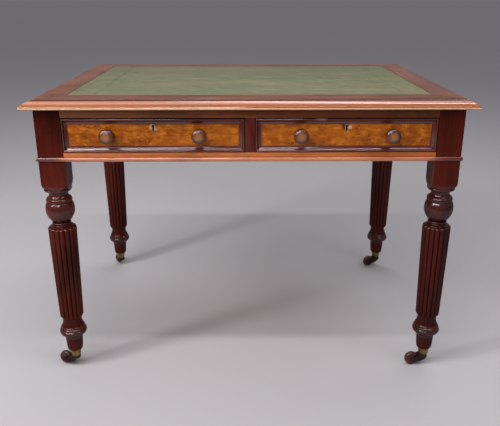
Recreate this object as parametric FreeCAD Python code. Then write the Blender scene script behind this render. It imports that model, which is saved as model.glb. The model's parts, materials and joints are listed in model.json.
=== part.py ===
import FreeCAD, Part
import math
import os

V = FreeCAD.Vector
ORIGIN = V(0, 0, 0)
RIGHT = V(1, 0, 0)
BACKWARD = V(0, 1, 0)
UP = V(0, 0, 1)

# A writing table with a leather top, two frieze drawers and four turned legs on castors.
# Millimetres. The front looks along -Y, +X is to its right, and the floor is at z = 0.

# Table as a whole
top_length = 1068.0
top_depth = 772.0
table_height = 737.0
top_overhang = 25.5
cut_overrun = 2.0

# Top: mitred border boards round a core that carries the leather
border_width = 90.0
slope_inset = 4.4
slope_width = 13.3
slope_drop = 9.4
slope_bulge = 1.3
quirk_drop = 1.0
edge_bead_radius = 4.0
lip_height = 3.6
lip_return = 3.0
tongue_length = 8.0
tongue_thickness = 7.0
leather_thickness = 1.4
leather_sink = 0.4
top_thickness = slope_drop + quirk_drop + 2 * edge_bead_radius + lip_height

# Frieze: rails between the legs, and the divider between the drawers
frieze_height = 127.7
rail_thickness = 22.0
front_rail_depth = 55.0
top_rail_height = 22.0
bottom_rail_height = 22.2
divider_width = 24.5
tenon_length = 25.0
tenon_thickness = 8.0
tenon_shoulder = 12.0
front_tenon_height = 10.0
front_tenon_depth = 35.0
divider_tenon_length = 10.0
divider_tenon_width = 12.0
beading_height = 10.2
beading_projection = 4.0

# Legs: square block, pommel, turned vase, reeded column and turned foot
leg_block_size = 62.0
block_below_frieze = 59.3
pommel_height = 20.6
pommel_radius = 34.1
pommel_slope = 6.4
vase_height = 96.4
vase_radius = 35.4
column_top_radius = 35.3
column_bottom_radius = 30.4
reed_count = 16
reed_depth = 3.7
reed_nose = 4.6
foot_height = 101.5
foot_radius = 35.3

# Bearers inside the frieze
runner_width = 21.5
runner_height = 14.0
centre_bearer_width = 72.0
guide_height = 20.0
stop_length = 25.0
stop_depth = 12.0
stop_height = 5.0
stop_spacing = 260.0
screw_radius = 2.2
screw_head_radius = 4.4
screw_head_height = 3.0
screw_length = 34.0
screw_spacing = 400.0
screw_fit = 0.05

# Drawers
drawer_side_gap = 0.9
drawer_top_gap = 2.3
drawer_bottom_gap = 1.3
drawer_setback = 5.0
drawer_back_space = 25.0
front_thickness = 20.0
side_thickness = 10.0
side_height = 75.5
back_thickness = 8.0
back_drop = 5.0
bottom_rise = 6.5
bottom_thickness = 6.0
groove_depth = 3.0
tail_length = 13.0
tail_count = 3
tail_width_share = 0.72
tail_slope_share = 0.17

# Moulding round each drawer front
moulding_width = 13.5
moulding_bead_radius = 2.4
moulding_bead_base = 4.6
moulding_quirk = 0.8
moulding_cove = 1.2
moulding_edge = 0.8

# Knobs
knob_radius = 17.5
knob_projection = 28.5
knob_spacing = 217.0
knob_spigot_radius = 5.0
knob_spigot_length = 14.0
knob_fit = 0.05

# Keyhole, its brass escutcheon, the lock and its bolt
keyhole_radius = 3.4
keyhole_stem_width = 3.8
keyhole_height = 15.7
keyhole_below_edge = 18.2
escutcheon_wall = 1.4
escutcheon_depth = 6.0
escutcheon_proud = 0.3
notch_radius = 7.6
lock_width = 58.0
lock_height = 42.0
lock_plate = 2.0
lock_case_inset = 6.0
lock_depth = 11.0
bolt_width = 24.0
bolt_thickness = 4.0
bolt_length = 20.0
bolt_tail_width = 32.0
bolt_tail_height = 8.0
bolt_throw = 6.0
bolt_fit = 0.1
bolt_end_gap = 0.3

# Castors
wheel_radius = 18.8
wheel_width = 14.0
wheel_tread = 2.0
wheel_round = 3.2
castor_offset = 32.4
castor_angles = {
    "front_left": 160.7, "front_right": 185.8, "back_left": 116.2, "back_right": 200.8,
}
cup_bottom = 33.0
cup_height = 21.0
cup_base = 2.5
cup_wall = 1.5
cup_top_radius = 15.8
cup_bottom_radius = 11.8
cup_fit = 0.15
crown_radius = 11.0
crown_height = 8.0
crown_gap = 0.3
pintle_radius = 3.0
pintle_head_radius = 5.0
pintle_head_height = 2.0
pintle_gap = 0.1
pintle_clearance = 1.2
cheek_thickness = 3.6
cheek_gap = 0.5
boss_radius = 6.5
axle_radius = 2.5
axle_head_radius = 3.6
axle_head_height = 1.2
running_fit = 0.05
tread_clearance = 1.2

# Turned outlines from the bottom up, as shares of the largest radius and of the height.
# A third number is how far the run up to that point bows out, as a share of the radius.
pommel_shares = [
    (0.927, 0.000), (0.956, 0.464, 0.050), (0.906, 0.964, 0.068), (0.892, 1.000),
]
vase_shares = [
    (0.749, 0.000), (0.757, 0.070), (0.751, 0.145, 0.059), (0.740, 0.149),
    (0.859, 0.262, -0.017), (1.000, 0.488, 0.041), (0.862, 0.680, 0.042), (0.859, 0.703),
    (0.845, 0.787, 0.042), (0.864, 0.801), (0.743, 0.918, -0.020), (0.780, 1.000, -0.014),
]
foot_shares = [
    (0.527, 0.000), (0.584, 0.158), (0.618, 0.369), (1.000, 0.571, 0.068),
    (0.952, 0.619, 0.017), (0.932, 0.627), (0.904, 0.670, 0.014), (0.867, 0.676),
    (0.856, 0.721), (0.691, 0.867, -0.026), (0.731, 1.000, -0.011),
]
knob_shares = [
    (0.640, 0.000), (0.640, 0.050), (0.400, 0.150), (0.820, 0.590, -0.160),
    (1.000, 0.740), (0.970, 0.810), (0.560, 0.930), (0.000, 0.965),
]
# How far a reed's nose is cut back where it starts, as a share of the reed's depth.
nose_start_share = 0.6

# Levels and lines that follow from the sizes
top_underside = table_height - top_thickness
frieze_bottom = top_underside - frieze_height
frieze_x = top_length / 2 - top_overhang
frieze_y = top_depth / 2 - top_overhang
leg_x = frieze_x - leg_block_size / 2
leg_y = frieze_y - leg_block_size / 2
bay_outer = frieze_x - leg_block_size
bay_inner = divider_width / 2
bay_centre = (bay_outer + bay_inner) / 2
bay_top = top_underside - top_rail_height
bay_bottom = frieze_bottom + bottom_rail_height
rail_front_y = -frieze_y
rail_inner_y = rail_front_y + front_rail_depth
back_rail_y = frieze_y - rail_thickness
guide_y = frieze_y - leg_block_size
block_bottom = frieze_bottom - block_below_frieze
pommel_bottom = block_bottom - pommel_height
pommel_top = block_bottom - pommel_slope
column_top = pommel_bottom - vase_height
cup_top = cup_bottom + cup_height
column_bottom = cup_top + foot_height
leather_top = table_height - leather_sink
core_top = leather_top - leather_thickness
inner_x = top_length / 2 - border_width
inner_y = top_depth / 2 - border_width
tongue_low = (top_underside + core_top - tongue_thickness) / 2
tongue_high = tongue_low + tongue_thickness

# Drawer, drawn about x = 0 and then moved to its bay
front_half = (bay_outer - bay_inner) / 2 - drawer_side_gap
front_low = bay_bottom + drawer_bottom_gap
front_high = bay_top - drawer_top_gap
front_face = -frieze_y + drawer_setback
front_back = front_face + front_thickness
drawer_end = back_rail_y - drawer_back_space
side_top = bay_bottom + side_height
bottom_low = bay_bottom + bottom_rise
bottom_high = bottom_low + bottom_thickness
inside_half = front_half - side_thickness
knob_level = (front_low + front_high) / 2
keyhole_level = front_high - keyhole_below_edge
bolt_middle = front_back - lock_depth / 2

# Castor, drawn about its leg's axis with the wheel along +X
cheek_inner = wheel_width / 2 + cheek_gap
cheek_outer = cheek_inner + cheek_thickness
crown_top = cup_bottom - crown_gap
cup_seat = cup_bottom + cup_base


def box(x0, x1, y0, y1, z0, z1):
    """Upright box between two corners, given in any order along each axis."""
    low = V(min(x0, x1), min(y0, y1), min(z0, z1))
    return Part.makeBox(abs(x1 - x0), abs(y1 - y0), abs(z1 - z0), low)


def outline(points):
    """Closed face in the XZ plane. A point of three numbers is reached by an arc that bows
    out by the third number, to the right of the way from the point before it."""
    edges = []
    for last, point in zip(points, points[1:] + points[:1]):
        start = V(last[0], 0, last[1])
        end = V(point[0], 0, point[1])
        if len(point) == 3:
            run = end - start
            side = V(run.z, 0, -run.x).normalize()
            middle = (start + end) / 2 + side * point[2]
            edges.append(Part.Arc(start, middle, end).toShape())
        else:
            edges.append(Part.makeLine(start, end))
    return Part.Face(Part.Wire(edges))


def turned(points):
    """Solid of revolution about Z from an outline of radius and height, where a run that
    bows is turned as two straight ones, so that its facets stay few."""
    plain = []
    for last, point in zip(points[-1:] + points[:-1], points):
        if len(point) == 3:
            start = V(last[0], 0, last[1])
            end = V(point[0], 0, point[1])
            run = end - start
            middle = (start + end) / 2 + V(run.z, 0, -run.x).normalize() * point[2]
            plain.append((middle.x, middle.z))
        plain.append(point[:2])
    return outline(plain).revolve(ORIGIN, UP, 360)


def scaled_points(shares, radius, low, height):
    """Outline points of a turned stretch, from a table of shares."""
    points = []
    for share in shares:
        point = [share[0] * radius, low + share[1] * height]
        point += [bow * radius for bow in share[2:]]
        points.append(tuple(point))
    return points


def mitred_strips(half_x, half_y, section, width, low, high):
    """Left, front, right and back strips, mitred round a rectangle. The section is drawn
    with x running in from the outer edge."""
    strips = []
    sides = [(half_x, half_y), (half_y, half_x)] * 2
    for turn, (reach, half) in enumerate(sides):
        strip = section.copy()
        strip.translate(V(-reach, -half, 0))
        strip = strip.extrude(V(0, 2 * half, 0))
        corners = [
            V(-reach, -half, low), V(width - reach, width - half, low),
            V(width - reach, half - width, low), V(-reach, half, low), V(-reach, -half, low),
        ]
        plan = Part.Face(Part.makePolygon(corners)).extrude(V(0, 0, high - low))
        strip = strip.common(plan)
        strip.rotate(ORIGIN, UP, 90 * turn)
        strips.append(strip)
    return strips


def fused(first, *others):
    """One solid from several, with the seams between them cleaned away."""
    return first.fuse(list(others)).removeSplitter()


def save(node, *shapes):
    """Write one node: a single solid, or a group of separate ones."""
    solids = [solid for shape in shapes for solid in shape.Solids]
    kept = solids[0] if len(solids) == 1 else Part.makeCompound(solids)
    kept.exportStep("parts/" + node + ".step")


def side_rail(side):
    """Side rail flush with the outer faces of the legs, tenoned into both."""
    outer = side * frieze_x
    inner = side * (frieze_x - rail_thickness)
    middle = (outer + inner) / 2
    board = box(inner, outer, -guide_y, guide_y, frieze_bottom, top_underside)
    reach = guide_y + tenon_length
    tenon = box(
        middle - tenon_thickness / 2, middle + tenon_thickness / 2, -reach, reach,
        frieze_bottom + tenon_shoulder, top_underside - tenon_shoulder,
    )
    return fused(board, tenon)


def back_rail():
    """Back rail, tenoned into the two back legs."""
    middle = (frieze_y + back_rail_y) / 2
    board = box(-bay_outer, bay_outer, back_rail_y, frieze_y, frieze_bottom, top_underside)
    reach = bay_outer + tenon_length
    tenon = box(
        -reach, reach, middle - tenon_thickness / 2, middle + tenon_thickness / 2,
        frieze_bottom + tenon_shoulder, top_underside - tenon_shoulder,
    )
    return fused(board, tenon)


def front_rail(low, high):
    """Flat rail above or below the drawers, tenoned into the front legs."""
    board = box(-bay_outer, bay_outer, rail_front_y, rail_inner_y, low, high)
    reach = bay_outer + tenon_length
    across = (rail_front_y + rail_inner_y) / 2
    level = (low + high) / 2
    tenon = box(
        -reach, reach, across - front_tenon_depth / 2, across + front_tenon_depth / 2,
        level - front_tenon_height / 2, level + front_tenon_height / 2,
    )
    return fused(board, tenon)


def drawer_divider():
    """Upright between the drawers, stub-tenoned into both front rails."""
    board = box(-bay_inner, bay_inner, rail_front_y, rail_inner_y, bay_bottom, bay_top)
    across = (rail_front_y + rail_inner_y) / 2
    tenon = box(
        -divider_tenon_width / 2, divider_tenon_width / 2,
        across - front_tenon_depth / 2, across + front_tenon_depth / 2,
        bay_bottom - divider_tenon_length, bay_top + divider_tenon_length,
    )
    return fused(board, tenon)


def frieze_beading():
    """Half-round beading along the bottom of the frieze, mitred round the legs."""
    section = outline([
        (beading_projection, beading_height),
        (beading_projection, 0, beading_projection),
    ])
    section.translate(V(0, 0, frieze_bottom))
    return mitred_strips(
        frieze_x + beading_projection, frieze_y + beading_projection, section,
        beading_projection, frieze_bottom, frieze_bottom + beading_height,
    )


def top_borders():
    """Border boards with the moulded edge outside and the tongue's groove inside."""
    bead_high = table_height - slope_drop - quirk_drop
    bead_low = bead_high - 2 * edge_bead_radius
    groove = border_width - tongue_length
    section = outline([
        (border_width, table_height),
        (slope_inset + slope_width, table_height),
        (slope_inset, table_height - slope_drop, slope_bulge),
        (slope_inset, bead_high),
        (edge_bead_radius, bead_high),
        (edge_bead_radius, bead_low, edge_bead_radius),
        (edge_bead_radius + lip_return, top_underside),
        (border_width, top_underside),
        (border_width, tongue_low),
        (groove, tongue_low),
        (groove, tongue_high),
        (border_width, tongue_high),
    ])
    return mitred_strips(
        top_length / 2, top_depth / 2, section, border_width, top_underside, table_height,
    )


def top_core():
    """Core panel below the leather, tongued all round into the border boards."""
    panel = box(-inner_x, inner_x, -inner_y, inner_y, top_underside, core_top)
    out_x = inner_x + tongue_length
    out_y = inner_y + tongue_length
    return fused(panel, box(-out_x, out_x, -out_y, out_y, tongue_low, tongue_high))


def screw_places():
    """Places of the screws that hold the top down, two along each outer kicker."""
    outer = bay_outer - runner_width / 2
    rows = (-screw_spacing / 2, screw_spacing / 2)
    return [V(x, row, bay_top) for x in (-outer, outer) for row in rows]


def top_screw(place, fit):
    """Countersunk screw, head down, driven up through a kicker. The fit makes its hole."""
    radius = screw_radius + fit
    screw = turned([
        (0, 0), (screw_head_radius + fit, 0), (radius, screw_head_height),
        (radius, screw_length + fit), (0, screw_length + fit),
    ])
    screw.translate(place)
    return screw


def reeded_column():
    """Reeded column: a rod for each reed round a core, all leaning in with the taper, and
    the noses of the reeds cut back at both ends."""
    half_step = math.pi / reed_count
    groove = column_top_radius - reed_depth
    half_width = groove * math.sin(half_step)
    rise = column_top_radius - groove * math.cos(half_step)
    rod_radius = (half_width ** 2 + rise ** 2) / (2 * rise)
    low = V(column_bottom_radius - rod_radius, 0, column_bottom)
    high = V(column_top_radius - rod_radius, 0, column_top)
    lean = high - low
    beyond = V(lean).normalize() * cut_overrun
    rod = Part.makeCylinder(rod_radius, lean.Length + 2 * cut_overrun, low - beyond, lean)
    rods = [rod.rotated(ORIGIN, UP, 360 * reed / reed_count) for reed in range(reed_count)]
    core = turned([(0, low.z), (low.x, low.z), (high.x, high.z), (0, high.z)])
    nose_start = nose_start_share * reed_depth
    room = turned([
        (0, column_bottom), (column_bottom_radius - nose_start, column_bottom),
        (column_bottom_radius, column_bottom + reed_nose),
        (column_bottom_radius + cut_overrun, column_bottom + reed_nose),
        (column_top_radius + cut_overrun, column_top - reed_nose),
        (column_top_radius, column_top - reed_nose),
        (column_top_radius - nose_start, column_top), (0, column_top),
    ])
    return fused(core, *rods).common(room)


def leg_block():
    """Square block at the frieze, its corners turned away where the pommel starts."""
    neck = pommel_shares[-1][0] * pommel_radius
    half = leg_block_size / 2
    rounded = turned([
        (0, pommel_top), (neck, pommel_top), (half * math.sqrt(2), block_bottom),
        (leg_block_size, block_bottom), (leg_block_size, top_underside), (0, top_underside),
    ])
    return rounded.common(box(-half, half, -half, half, pommel_top, top_underside))


def leg_foot():
    """Turned foot on the stub that the castor's cup takes, hollow for the pintle."""
    socket = pintle_head_radius + pintle_clearance
    socket_top = cup_seat + pintle_head_height + pintle_gap + pintle_clearance
    stub = [
        (0, socket_top), (socket, socket_top), (socket, cup_seat),
        (cup_inner_radius(cup_seat) - cup_fit, cup_seat),
        (cup_inner_radius(cup_top) - cup_fit, cup_top),
    ]
    foot = scaled_points(foot_shares, foot_radius, cup_top, foot_height)
    return turned(stub + foot + [(0, column_bottom)])


def leg(side, end):
    """One leg at its corner: side is -1 at the left, end is -1 at the front."""
    vase = scaled_points(vase_shares, vase_radius, column_top, vase_height)
    pommel = scaled_points(pommel_shares, pommel_radius, pommel_bottom, pommel_top - pommel_bottom)
    upper = turned([(0, column_top)] + vase + pommel + [(0, pommel_top)])
    shape = fused(leg_foot(), reeded_column(), upper, leg_block())
    shape.translate(V(side * leg_x, end * leg_y, 0))
    return shape


def runners():
    """Runners that the drawer sides slide on, from the bottom rail to the back rail."""
    low = bay_bottom - runner_height
    spans = [
        (-bay_outer, runner_width - bay_outer), (bay_outer - runner_width, bay_outer),
        (-centre_bearer_width / 2, centre_bearer_width / 2),
    ]
    return [box(x0, x1, rail_inner_y, back_rail_y, low, bay_bottom) for x0, x1 in spans]


def guides():
    """Guides beside the drawer sides: one in each side frame, one down the middle."""
    low = bay_bottom - runner_height
    high = bay_bottom + guide_height
    rail_x = frieze_x - rail_thickness
    return [
        box(-rail_x, -bay_outer, -guide_y, guide_y, low, high),
        box(bay_outer, rail_x, -guide_y, guide_y, low, high),
        box(-bay_inner, bay_inner, rail_inner_y, back_rail_y, bay_bottom, high),
    ]


def kickers():
    """Kickers over the drawer sides, which keep an open drawer from tipping."""
    spans = [
        (-bay_outer, runner_width - bay_outer), (bay_outer - runner_width, bay_outer),
        (-centre_bearer_width / 2, centre_bearer_width / 2),
    ]
    return [box(x0, x1, rail_inner_y, back_rail_y, bay_top, top_underside) for x0, x1 in spans]


def stops():
    """Stops on the bottom rail that the drawer fronts come up against."""
    shapes = []
    for bay in (-bay_centre, bay_centre):
        for side in (-1, 1):
            middle = bay + side * stop_spacing / 2
            shapes.append(box(
                middle - stop_length / 2, middle + stop_length / 2,
                front_back, front_back + stop_depth, bay_bottom, bay_bottom + stop_height,
            ))
    return shapes


def tails(x0, x1, root, tip, low, high):
    """Dovetails in a row up the end of a drawer side, widest at their tips."""
    pitch = (high - low) / tail_count
    tip_half = pitch * tail_width_share / 2
    root_half = tip_half - abs(tip - root) * tail_slope_share
    shapes = []
    for number in range(tail_count):
        middle = low + (number + 0.5) * pitch
        corners = [
            V(x0, root, middle - root_half), V(x0, tip, middle - tip_half),
            V(x0, tip, middle + tip_half), V(x0, root, middle + root_half),
            V(x0, root, middle - root_half),
        ]
        shapes.append(Part.Face(Part.makePolygon(corners)).extrude(V(x1 - x0, 0, 0)))
    return shapes


def drawer_bottom():
    """Bottom board, let into grooves in the sides and front, and under the back."""
    half = inside_half + groove_depth
    return box(-half, half, front_back - groove_depth, drawer_end, bottom_low, bottom_high)


def front_tails(side):
    """Tails of one drawer side that lap into the front."""
    tip = front_back - tail_length
    return tails(side * inside_half, side * front_half, front_back, tip, front_low, side_top)


def drawer_back():
    """Back board, with pins between the through tails of the sides."""
    high = side_top - back_drop
    root = drawer_end - back_thickness
    board = box(-front_half, front_half, root, drawer_end, bottom_high, high)
    sockets = []
    for side in (-1, 1):
        sockets += tails(
            side * inside_half, side * front_half, root, drawer_end, bottom_high, high,
        )
    return board.cut(sockets)


def drawer_side(side):
    """Side board, dovetailed to the front and the back, grooved for the bottom."""
    board = box(
        side * inside_half, side * front_half, front_back, drawer_end, bay_bottom, side_top,
    )
    board = fused(board, *front_tails(side))
    return board.cut([drawer_bottom(), drawer_back()])


def keyhole(spread, start, end):
    """Prism of the keyhole's outline from front to back, larger all round by the spread."""
    depth = end - start
    stem_half = keyhole_stem_width / 2
    stem_low = keyhole_level + keyhole_radius - keyhole_height + stem_half
    head = Part.makeCylinder(
        keyhole_radius + spread, depth, V(0, start, keyhole_level), BACKWARD,
    )
    foot = Part.makeCylinder(stem_half + spread, depth, V(0, start, stem_low), BACKWARD)
    stem = box(
        -stem_half - spread, stem_half + spread, start, end, stem_low, keyhole_level,
    )
    return fused(head, stem, foot)


def escutcheon():
    """Brass liner of the keyhole, let into the drawer front."""
    start = front_face - escutcheon_proud
    end = front_face + escutcheon_depth
    return keyhole(escutcheon_wall, start, end).cut(keyhole(0, start, end))


def bolt(lift, fit):
    """Lock bolt with its wider tail. The lift and the fit sweep out its chamber."""
    low = front_high - bolt_length
    half = bolt_width / 2 + fit
    tail_half = bolt_tail_width / 2 + fit
    thick = bolt_thickness / 2 + fit
    end_gap = bolt_end_gap if fit else 0
    head = box(
        -half, half, bolt_middle - thick, bolt_middle + thick, low - end_gap, front_high,
    )
    tail = box(
        -tail_half, tail_half, bolt_middle - thick, bolt_middle + thick,
        low - end_gap, low + bolt_tail_height + lift + end_gap,
    )
    return fused(head, tail)


def lock_body():
    """Outside of the lock: its case, and the plate that lies flush in the front."""
    low = front_high - lock_height
    half = lock_width / 2
    plate = box(-half, half, front_back - lock_plate, front_back, low, front_high)
    case_half = half - lock_case_inset
    case = box(
        -case_half, case_half, front_back - lock_depth, front_back,
        low + lock_case_inset, front_high,
    )
    return fused(plate, case)


def drawer_lock():
    """Lock with the chamber of its bolt, open to the keyhole at the front."""
    key_way = keyhole(0, front_back - lock_depth, bolt_middle)
    return lock_body().cut([bolt(bolt_throw, bolt_fit), key_way])


def knob(side, fit):
    """Turned knob on its spigot. The fit makes the spigot's hole."""
    base = [
        (0, -knob_spigot_length - fit), (knob_spigot_radius + fit, -knob_spigot_length - fit),
        (knob_spigot_radius + fit, 0),
    ]
    shape = turned(base + scaled_points(knob_shares, knob_radius, 0, knob_projection))
    shape.rotate(ORIGIN, RIGHT, 90)
    shape.translate(V(side * knob_spacing / 2, front_face, knob_level))
    return shape


def drawer_front():
    """Front board with its sockets, groove, lock recess, keyhole and knob holes."""
    board = box(-front_half, front_half, front_face, front_back, front_low, front_high)
    start = front_face - escutcheon_proud
    cuts = [
        drawer_bottom(), lock_body(), knob(-1, knob_fit), knob(1, knob_fit),
        keyhole(0, front_face, front_back - lock_depth),
        keyhole(escutcheon_wall, start, front_face + escutcheon_depth),
    ]
    return board.cut(cuts + front_tails(-1) + front_tails(1))


def drawer_moulding():
    """Moulding mitred round the drawer front: bead outside, then quirk and cove."""
    bead_width = 2 * moulding_bead_radius
    section = outline([
        (moulding_width, 0), (moulding_width, moulding_edge),
        (bead_width, moulding_bead_base - moulding_quirk, -moulding_cove),
        (bead_width, moulding_bead_base),
        (0, moulding_bead_base, moulding_bead_radius), (0, 0),
    ])
    half_height = (front_high - front_low) / 2
    height = moulding_bead_base + moulding_bead_radius
    strips = mitred_strips(front_half, half_height, section, moulding_width, 0, height)
    notch = Part.makeCylinder(
        notch_radius, 2 * height, V(0, front_face - height - cut_overrun, keyhole_level), BACKWARD,
    )
    shapes = []
    for strip in strips:
        strip.rotate(ORIGIN, RIGHT, 90)
        strip.translate(V(0, front_face, knob_level))
        shapes.append(strip.cut(notch))
    return shapes


def cup_inner_radius(level):
    """Inside radius of the castor's cup at a height above the floor."""
    share = (level - cup_bottom) / cup_height
    return cup_bottom_radius + share * (cup_top_radius - cup_bottom_radius) - cup_wall


def castor_cup():
    """Brass cup on the leg's foot, pierced in its base for the pintle."""
    hole = pintle_radius + running_fit
    return turned([
        (hole, cup_bottom), (cup_bottom_radius, cup_bottom), (cup_top_radius, cup_top),
        (cup_inner_radius(cup_top), cup_top), (cup_inner_radius(cup_seat), cup_seat),
        (hole, cup_seat),
    ])


def castor_fork():
    """Horn of the castor: crown, riveted pintle, and two cheeks down to the axle."""
    crown_low = crown_top - crown_height
    head_low = cup_seat + pintle_gap
    axle_level = wheel_radius
    turned_part = turned([
        (0, crown_low), (crown_radius, crown_low), (crown_radius, crown_top),
        (pintle_radius, crown_top), (pintle_radius, head_low), (pintle_head_radius, head_low),
        (pintle_head_radius, head_low + pintle_head_height),
        (0, head_low + pintle_head_height),
    ])
    rear = crown_radius * 2 / 3
    sides = outline([
        (-rear, crown_top), (rear, crown_top),
        (castor_offset, axle_level + boss_radius, crown_height / 4),
        (castor_offset, axle_level - boss_radius, -boss_radius),
        (-rear / 2, crown_low - crown_height / 2, -crown_height / 2),
        (-rear, crown_low),
    ]).extrude(V(0, 2 * cheek_outer, 0))
    sides.translate(V(0, -cheek_outer, 0))
    space = Part.makeCylinder(
        wheel_radius + tread_clearance, 2 * cheek_inner,
        V(castor_offset, -cheek_inner, axle_level), BACKWARD,
    )
    hole = Part.makeCylinder(
        axle_radius + running_fit, 2 * cheek_outer,
        V(castor_offset, -cheek_outer, axle_level), BACKWARD,
    )
    return fused(turned_part, sides).cut([space, hole])


def castor_axle():
    """Axle pin with a riveted head outside each cheek."""
    outer = cheek_outer + axle_head_height
    axle = turned([
        (0, -outer), (axle_head_radius, -outer), (axle_head_radius, -cheek_outer),
        (axle_radius, -cheek_outer), (axle_radius, cheek_outer),
        (axle_head_radius, cheek_outer), (axle_head_radius, outer), (0, outer),
    ])
    return on_axle(axle)


def castor_wheel():
    """Ceramic wheel, its tread eased down to both faces in two steps."""
    half = wheel_width / 2
    tread_half = wheel_tread / 2
    bore = axle_radius + running_fit
    shoulder = wheel_radius - wheel_round
    ease = wheel_radius - wheel_round / 3
    ease_half = (half + tread_half) / 2
    wheel = turned([
        (bore, -half), (shoulder, -half), (ease, -ease_half), (wheel_radius, -tread_half),
        (wheel_radius, tread_half), (ease, ease_half), (shoulder, half), (bore, half),
    ])
    return on_axle(wheel)


def on_axle(shape):
    """Turn a shape drawn about Z onto the axle's line."""
    shape.rotate(ORIGIN, RIGHT, 90)
    shape.translate(V(castor_offset, 0, wheel_radius))
    return shape


def save_top():
    """Core, border boards, leather and the screws that hold them down."""
    holes = [top_screw(place, screw_fit) for place in screw_places()]
    save("top_core", top_core().cut(holes))
    for name, strip in zip(("left", "front", "right", "back"), top_borders()):
        save("top_border_" + name, strip)
    save("writing_leather", box(-inner_x, inner_x, -inner_y, inner_y, core_top, leather_top))
    save("drawer_kickers", *[kicker.cut(holes) for kicker in kickers()])
    save("top_screws", *[top_screw(place, 0) for place in screw_places()])


def save_frame():
    """Legs, rails, divider, beading and the bearers of the drawers."""
    divider = drawer_divider()
    top_rail = front_rail(bay_top, top_underside)
    bottom_rail = front_rail(frieze_bottom, bay_bottom)
    left_rail = side_rail(-1)
    right_rail = side_rail(1)
    rear_rail = back_rail()
    mortises = [top_rail, bottom_rail, left_rail, right_rail, rear_rail]
    for corner, (side, end) in corners().items():
        save("leg_" + corner, leg(side, end).cut(mortises))
    bolt_holes = []
    for bay in (-bay_centre, bay_centre):
        bolt_holes.append(bolt_mortise().translated(V(bay, 0, 0)))
    save("front_top_rail", top_rail.cut([divider] + bolt_holes))
    save("front_bottom_rail", bottom_rail.cut(divider))
    save("drawer_divider", divider)
    save("side_rail_left", left_rail)
    save("side_rail_right", right_rail)
    save("back_rail", rear_rail)
    save("frieze_beading", *frieze_beading())
    save("drawer_runners", *runners())
    save("drawer_guides", *guides())
    save("drawer_stops", *stops())


def corners():
    """The four corners, by the side and the end that each is at."""
    return {
        "front_left": (-1, -1), "front_right": (1, -1), "back_left": (-1, 1), "back_right": (1, 1),
    }


def bolt_mortise():
    """Mortise in the top rail that the lock bolt shoots into."""
    half = bolt_width / 2 + 2 * bolt_end_gap
    thick = bolt_thickness / 2 + 2 * bolt_end_gap
    top = front_high + bolt_throw + 2 * bolt_end_gap
    return box(-half, half, bolt_middle - thick, bolt_middle + thick, bay_top, top)


def save_castors():
    """Cup, fork, axle and wheel at each leg, swivelled as they stand."""
    for corner, (side, end) in corners().items():
        place = V(side * leg_x, end * leg_y, 0)
        save("castor_cup_" + corner, castor_cup().translated(place))
        makers = (("fork", castor_fork), ("axle", castor_axle), ("wheel", castor_wheel))
        for name, maker in makers:
            shape = maker()
            shape.rotate(ORIGIN, UP, castor_angles[corner])
            shape.translate(place)
            save("castor_" + name + "_" + corner, shape)


def save_drawers():
    """Both drawers, each piece drawn about x = 0 and moved to its bay."""
    for name, side in (("left", -1), ("right", 1)):
        pieces = {
            "front": [drawer_front()],
            "moulding": drawer_moulding(),
            "side_outer": [drawer_side(side)],
            "side_inner": [drawer_side(-side)],
            "back": [drawer_back()],
            "bottom": [drawer_bottom()],
            "knobs": [knob(-1, 0), knob(1, 0)],
            "escutcheon": [escutcheon()],
            "lock": [drawer_lock()],
            "lock_bolt": [bolt(0, 0)],
        }
        place = V(side * bay_centre, 0, 0)
        for piece, shapes in pieces.items():
            save("drawer_" + name + "_" + piece, *[shape.translated(place) for shape in shapes])


os.makedirs("parts", exist_ok=True)
save_top()
save_frame()
save_castors()
save_drawers()
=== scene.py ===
"""Looks of the writing table: wood, leather and brass, worn edges, camera and light."""

import json
import math

import bmesh
import bpy
from mathutils import Matrix, Vector, noise


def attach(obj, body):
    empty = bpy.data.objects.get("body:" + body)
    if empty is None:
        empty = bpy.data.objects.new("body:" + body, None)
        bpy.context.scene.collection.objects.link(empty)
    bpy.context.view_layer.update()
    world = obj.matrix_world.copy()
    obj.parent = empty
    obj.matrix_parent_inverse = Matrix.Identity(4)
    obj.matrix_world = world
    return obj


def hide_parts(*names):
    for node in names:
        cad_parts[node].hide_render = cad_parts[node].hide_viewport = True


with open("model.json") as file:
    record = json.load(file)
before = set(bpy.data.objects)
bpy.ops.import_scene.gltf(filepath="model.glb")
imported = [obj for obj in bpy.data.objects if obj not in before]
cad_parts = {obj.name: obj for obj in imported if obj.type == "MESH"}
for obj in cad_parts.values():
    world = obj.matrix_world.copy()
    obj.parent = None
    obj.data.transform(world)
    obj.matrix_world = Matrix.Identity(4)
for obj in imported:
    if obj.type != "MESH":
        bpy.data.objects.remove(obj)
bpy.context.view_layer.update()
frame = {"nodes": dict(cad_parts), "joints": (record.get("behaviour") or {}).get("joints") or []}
NODES = frame["nodes"]
CORNERS = ("front_left", "front_right", "back_left", "back_right")
SIDES = ("left", "right")
JOINTS = {joint["name"]: joint for joint in frame["joints"]}

# Camera, solved from the photograph's own lines
IMAGE_WIDTH = 500
FOCAL_PIXELS = 620.56
SENSOR_WIDTH = 36.0
CAMERA_PLACE = (-0.01276, -1.8075, 0.97788)
CAMERA_PITCH = math.radians(19.86)
CAMERA_YAW = math.radians(0.5)

# Light and floor
HORIZON_LIGHT = (0.10, 0.10, 0.11)
ZENITH_LIGHT = (0.42, 0.41, 0.47)
BACKDROP_COLOUR = (0.30, 0.295, 0.31)
BACKDROP_RAYS = ("Is Camera Ray", "Is Glossy Ray", "Is Transmission Ray")
FLOOR_COLOUR = (0.45, 0.44, 0.43)
FLOOR_ROUGHNESS = 0.9
FLOOR_SIZE = 60.0
LAMP_COLOUR = (0.98, 0.95, 1.0)
LAMP_AIM = (0.0, 0.0, 0.5)
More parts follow.
